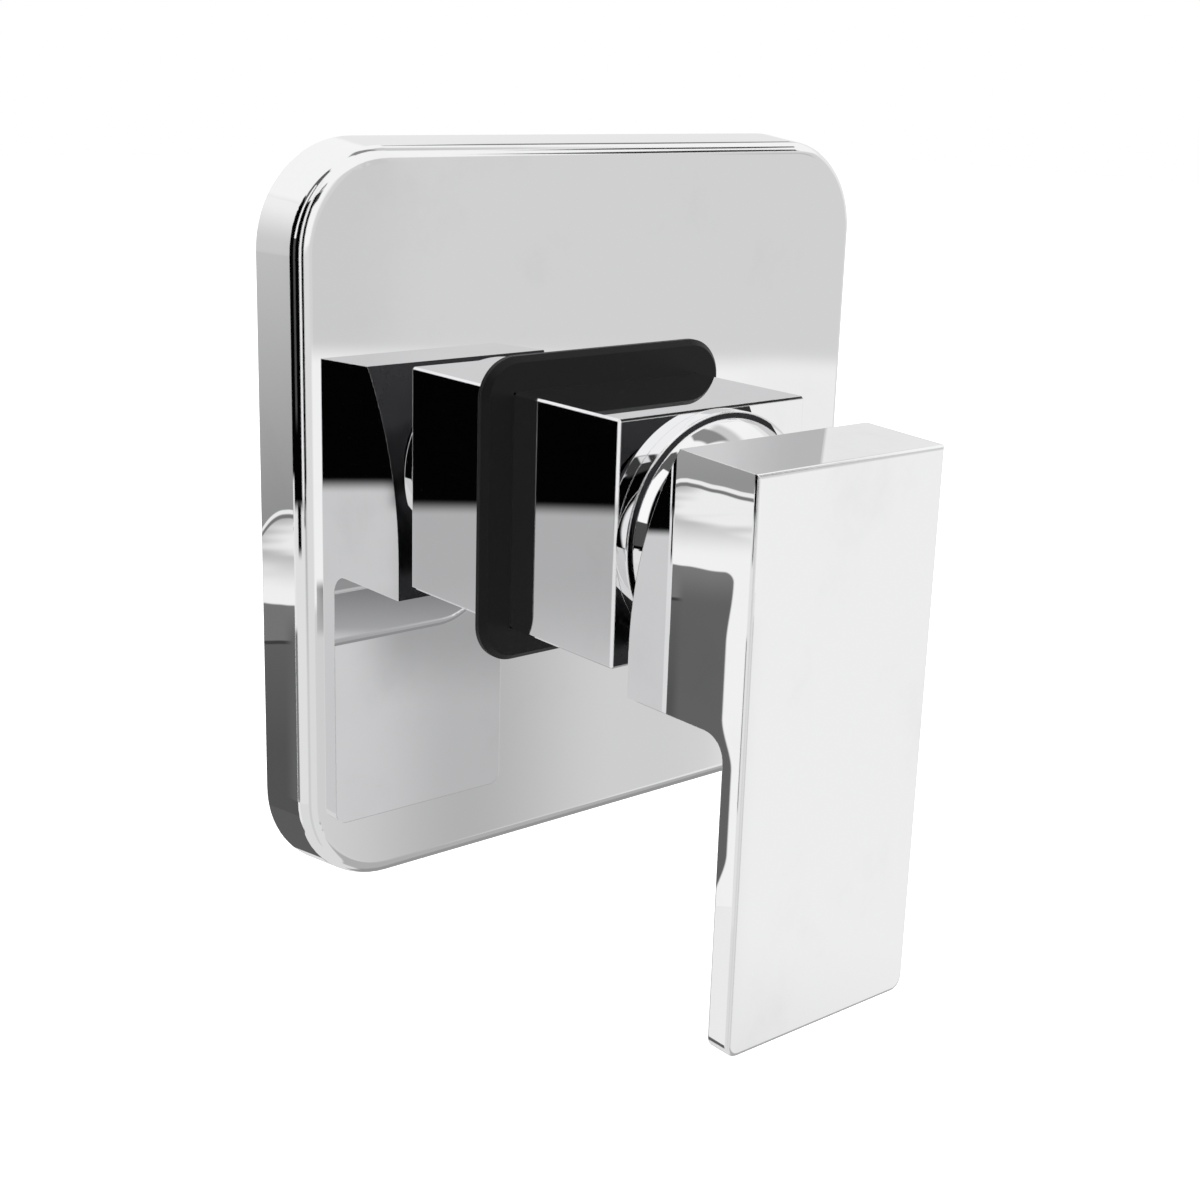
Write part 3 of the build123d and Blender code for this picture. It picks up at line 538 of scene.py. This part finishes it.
def cast_brass(name):
    """A sand-cast brass body, grainy and dull, with bright machined bores, mouths and neck."""
    material, tree = new_material(name)
    grain = tree.noise(1300, 6, 0.7)
    lumps = tree.noise(160, 4, 0.6)
    soft, edge = edge_mask(tree, 0.3 * MM)
    place = tree.add("ShaderNodeTexCoord", "Object")
    parts = tree.add("ShaderNodeSeparateXYZ", None, {0: place})
    neck = tree.ramp(parts.outputs[1], 4.0 * MM, 5.0 * MM, 1.0, 0.0)
    side_mouth = tree.ramp(tree.math("ABSOLUTE", parts.outputs[0]), 38.6 * MM, 38.9 * MM)
    top_mouth = tree.ramp(parts.outputs[2], 38.6 * MM, 38.9 * MM)
    cut = tree.math("MAXIMUM", neck, tree.math("MAXIMUM", side_mouth, top_mouth))
    dull = tree.blend(tree.ramp(lumps, 0.3, 0.75), colour(184, 148, 84), colour(152, 116, 62))
    dull = tree.blend(tree.math("MULTIPLY", edge, 0.5), dull, colour(222, 186, 112))
    bright = tree.blend(tree.ramp(lumps, 0.4, 0.75), colour(226, 192, 118), colour(206, 168, 96))
    paint = tree.blend(cut, dull, bright)
    rough = tree.mix(cut, tree.math("MULTIPLY_ADD", grain, 0.25, 0.42), tree.math("MULTIPLY_ADD", grain, 0.1, 0.2))
    height = tree.math("MULTIPLY_ADD", lumps, 0.8, grain)
    normal = bump(tree, height, 0.09 * MM, tree.mix(cut, 1.0, 0.06), soft)
    close(tree, Base_Color=paint, Metallic=1.0, Roughness=rough, Normal=normal)
    return material


def ceramic(name):
    material, tree = new_material(name)
    speck = tree.ramp(tree.noise(1800, 3, 0.7), 0.6, 0.8)
    paint = tree.blend(speck, colour(238, 236, 230), colour(214, 211, 203))
    rough = tree.math("MULTIPLY_ADD", tree.noise(300, 3), 0.1, 0.12)
    close(tree, Base_Color=paint, Roughness=rough, Coat_Weight=0.3, Normal=bump(tree, tree.noise(900), 0.003 * MM))
    return material


# Small pieces


def helix_ridge(mesh, root, crest, start, end, pitch, width, place):
    """A closed thread ridge wound round the local Z axis, run out to nothing at both ends.

    root and crest are radii, or functions of the distance along the axis that give them.
    """
    count = int(RIDGE_STEPS * (end - start - width) / pitch)
    rows = []
    for step in range(count + 1):
        turn = 2 * pi * step / RIDGE_STEPS
        along = start + width / 2 + pitch * turn / (2 * pi)
        fade = min(1.0, 0.02 + step / RIDGE_RUN_OUT, 0.02 + (count - step) / RIDGE_RUN_OUT)
        low = root(along) if callable(root) else root
        high = crest(along) if callable(crest) else crest
        high = low + (high - low) * fade
        outline = ((low, -width / 2), (high, -width / 6), (high, width / 6), (low, width / 2))
        corners = [(radius * cos(turn), radius * sin(turn), along + shift) for radius, shift in outline]
        rows.append([mesh.verts.new(place @ Vector(corner)) for corner in corners])
    for first, second in zip(rows, rows[1:]):
        for side in range(4):
            after = (side + 1) % 4
            mesh.faces.new((first[side], first[after], second[after], second[side]))
    mesh.faces.new(rows[0][::-1])
    mesh.faces.new(rows[-1])


def lathe(mesh, profile, place, steps=64):
    """A closed turned solid from (radius, distance) pairs, the first and last on the Z axis."""
    ends = [mesh.verts.new(place @ Vector((0, 0, along))) for along in (profile[0][1], profile[-1][1])]
    rings = []
    for radius, along in profile[1:-1]:
        turns = [2 * pi * step / steps for step in range(steps)]
        points = [(radius * cos(turn), radius * sin(turn), along) for turn in turns]
        rings.append([mesh.verts.new(place @ Vector(point)) for point in points])
    for first, second in zip(rings, rings[1:]):
        for step in range(steps):
            after = (step + 1) % steps
            mesh.faces.new((first[step], first[after], second[after], second[step]))
    for step in range(steps):
        after = (step + 1) % steps
        mesh.faces.new((ends[0], rings[0][after], rings[0][step]))
        mesh.faces.new((ends[1], rings[-1][step], rings[-1][after]))


def turned_ring(mesh, profile, place, steps=288):
    """A ring turned about the Z axis from a closed outline of (radius, distance) pairs."""
    rows = []
    for step in range(steps):
        turn = 2 * pi * step / steps
        points = [(radius * cos(turn), radius * sin(turn), along) for radius, along in profile]
        rows.append([mesh.verts.new(place @ Vector(point)) for point in points])
    for row, after in zip(rows, rows[1:] + rows[:1]):
        for side in range(len(profile)):
            following = (side + 1) % len(profile)
            mesh.faces.new((row[side], row[following], after[following], after[side]))


def as_object(mesh, name, sharp=35):
    bmesh.ops.recalc_face_normals(mesh, faces=mesh.faces)
    data = bpy.data.meshes.new(name)
    mesh.to_mesh(data)
    mesh.free()
    data.shade_smooth()
    data.set_sharp_from_angle(angle=radians(sharp))
    made = bpy.data.objects.new(name, data)
    bpy.context.scene.collection.objects.link(made)
    return made


def port_threads(material):
    """The thread in each of the three ports, wound in from its mouth."""
    for mount in frame["record"]["mounts"]:
        if mount["kind"] != "threaded_hole":
            continue
        radius, length = mount["dims"]["r_mm"] * MM, mount["dims"]["length_mm"] * MM
        inwards = -Vector(mount["axis"])
        turned = inwards.to_track_quat("Z", "Y").to_matrix().to_4x4()
        place = Matrix.Translation(mount["pos_m"]) @ turned
        mesh = bmesh.new()
        crest = radius - PORT_THREAD_HEIGHT
        helix_ridge(mesh, radius + SUNK, crest, PORT_THREAD_START, length - PORT_THREAD_END, PORT_PITCH,
                    PORT_PITCH * 0.75, place)
        thread = as_object(mesh, mount["name"] + "_thread")
        thread.data.materials.append(material)
        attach(thread, "fixed_valve")


def ball_arc(radius, first, last, steps=36):
    """Points on a ball about the lever's pivot, between two distances from the valve's axis."""
    from_top, to_top = asin(first / radius), asin(last / radius)
    turns = [from_top + (to_top - from_top) * step / steps for step in range(steps + 1)]
    return [(radius * sin(turn), PIVOT_OUT + radius * cos(turn)) for turn in turns]


def dome_cap(material):
    """The dome cap turned finely, because its ball and ring mirror the whole room."""
    low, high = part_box("dome_cap")
    ring, skirt_end, front = high.x, -high.y, RING_BACK_OUT + RING_HEIGHT
    rim = ring - RIM_INSET
    ball = hypot(rim, front - PIVOT_OUT)
    inner, skirt = ball - DOME_WALL, SKIRT_BORE + SKIRT_WALL
    turns = [pi / 2 * step / 10 for step in range(11)]
    edge = [(ring - RING_ROUND * (1 - sin(turn)), front - RING_ROUND * (1 - cos(turn))) for turn in turns]
    profile = edge + [(ring, RING_BACK_OUT), (skirt, RING_BACK_OUT), (skirt, skirt_end), (SKIRT_BORE, skirt_end)]
    profile += ball_arc(inner, SKIRT_BORE, DOME_OPENING) + ball_arc(ball, DOME_OPENING, rim)
    mesh = bmesh.new()
    turned_ring(mesh, profile, Matrix.Rotation(pi / 2, 4, "X"))
    made = as_object(mesh, "dome_cap_turned", 30)
    made.data.materials.append(material)
    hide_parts("dome_cap")
    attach(made, "fixed_valve")


def cross_cutter(place):
    """A tapered cross, to be cut out of a screw's head."""
    mesh = bmesh.new()
    rings = []
    for length, width, along in ((2.5, 0.75, -0.3), (2.3, 0.62, 0.3), (1.1, 0.42, 2.2)):
        arm = ((length, -width), (length, width), (width, width))
        points = [Matrix.Rotation(quarter * pi / 2, 2) @ Vector(corner) for quarter in range(4) for corner in arm]
        rings.append([mesh.verts.new(place @ Vector((x * MM, y * MM, along * MM))) for x, y in points])
    for first, second in zip(rings, rings[1:]):
        for step, near in enumerate(first):
            after = (step + 1) % len(first)
            mesh.faces.new((near, first[after], second[after], second[step]))
    mesh.faces.new(rings[0][::-1])
    mesh.faces.new(rings[-1])
    return as_object(mesh, "cross_cutter")


def screw_radius(along):
    """The outer radius of the wall screw's thread, which tapers towards the point."""
    tapering = min(1.0, max(0.0, (SCREW_POINT - along) / (SCREW_POINT - SCREW_TAPER)))
    return 0.15 * MM + (SCREW_OUTER - 0.15 * MM) * tapering


def screw_core(along):
    return screw_radius(along) * SCREW_CORE_SHARE


def wall_screws(material):
    """The two screws through the body's lugs: a pan head with a cross recess, a neck and a thread."""
    low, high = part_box("body_fixing_screws")
    side, height = high.x - SCREW_HEAD_R, (low.z + high.z) / 2
    heads, threads = [], bmesh.new()
    for across in (-side, side):
        turned = Matrix.Rotation(-pi / 2, 4, "X")
        place = Matrix.Translation((across, low.y, height)) @ turned
        arc = [radians(15 * step) for step in range(7)]
        flat = SCREW_HEAD_R - SCREW_HEAD_ROUND
        rounding = [(flat + SCREW_HEAD_ROUND * sin(turn), SCREW_HEAD_ROUND * (1 - cos(turn))) for turn in arc]
        cone = [SCREW_TAPER + (SCREW_POINT - SCREW_TAPER) * step / 4 for step in range(4)]
        profile = [(0, 0), (flat * 0.5, 0)] + rounding + [
            (SCREW_HEAD_R, SCREW_HEAD_HEIGHT), (SCREW_NECK_R, SCREW_HEAD_HEIGHT), (SCREW_NECK_R, SCREW_THREAD_START),
            (screw_core(0), SCREW_THREAD_START + 0.2 * MM),
        ] + [(screw_core(along), along) for along in cone] + [(0, SCREW_POINT)]
        solid = bmesh.new()
        lathe(solid, profile, place)
        screw = as_object(solid, "wall_screw_head")
        cutter = cross_cutter(place @ Matrix.Rotation(SCREW_TURNS[len(heads)], 4, "Z"))
        cut = screw.modifiers.new("recess", "BOOLEAN")
        cut.object, cut.operation, cut.solver = cutter, "DIFFERENCE", "EXACT"
        bpy.context.view_layer.update()
        seen = screw.evaluated_get(bpy.context.evaluated_depsgraph_get())
        heads.append(bpy.data.meshes.new_from_object(seen))
        bpy.data.objects.remove(cutter)
        bpy.data.objects.remove(screw)
        helix_ridge(threads, screw_core, screw_radius, SCREW_THREAD_START, SCREW_POINT - 1.2 * MM, SCREW_PITCH,
                    SCREW_PITCH * 0.5, place)
    for head in heads:
        threads.from_mesh(head)
    made = as_object(threads, "wall_screws", 40)
    made.data.materials.clear()
    made.data.materials.append(material)
    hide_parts("body_fixing_screws")
    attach(made, "fixed_valve")


def dress_nodes():
    """Gives each carried-over CAD piece the material of its slot."""
    brass = (colour(231, 198, 126), colour(178, 140, 74))
    steel = (colour(196, 197, 200), colour(140, 142, 146))
    made = {
        "chrome_plate": chrome("chrome_plate", unpolished_or_shaded_side=inner_side),
        "chrome_sleeve": chrome("chrome_sleeve", seed_stretch=(1.3, 1, 1), unpolished_or_shaded_side=inner_side),
        "chrome_dome": chrome("chrome_dome", seed_stretch=(1, 1.4, 1)),
        # On the lever, the head's back round the dome is tinted dark grey: painted shade in that recess
        "chrome_handle": chrome("chrome_handle", 250, 0.0006, (1, 1, 0.8), head_back_shade, (56, 56, 58)),
        "black_rubber": rubber("black_rubber", 5, dust=0.05, roughness=0.4, sheen=0.25),
        "seal_rubber": rubber("seal_rubber", 24, roughness=0.45),
        "foam_seal": foam("foam_seal"),
        "black_plastic": plastic("black_plastic", colour(30, 30, 32), colour(22, 22, 24)),
        "cap_plastic": plastic("cap_plastic", colour(182, 184, 187), colour(168, 170, 174)),
        "white_plastic": plastic("white_plastic", colour(232, 232, 228), colour(221, 221, 216)),
        "grey_plastic": plastic("grey_plastic", colour(150, 154, 160), colour(136, 140, 147)),
        "ceramic": ceramic("ceramic"),
        "steel": turned_metal("steel", *steel, roughness=0.28),
        "raw_brass": cast_brass("raw_brass"),
        "machined_brass": turned_metal("machined_brass", *brass, roughness=0.22),
    }
    for part in frame["record"]["subparts"]:
        mesh = NODES[part["node"]].data
        mesh.materials.clear()
        mesh.materials.append(made[part["material_slot"]])
    return made


bpy.context.scene.view_settings.view_transform = "Standard"
set_camera()
set_floor()
set_lamp()
set_studio()
set_side_card()
finishes = dress_nodes()
dome_cap(finishes["chrome_dome"])
port_threads(finishes["raw_brass"])
wall_screws(finishes["steel"])
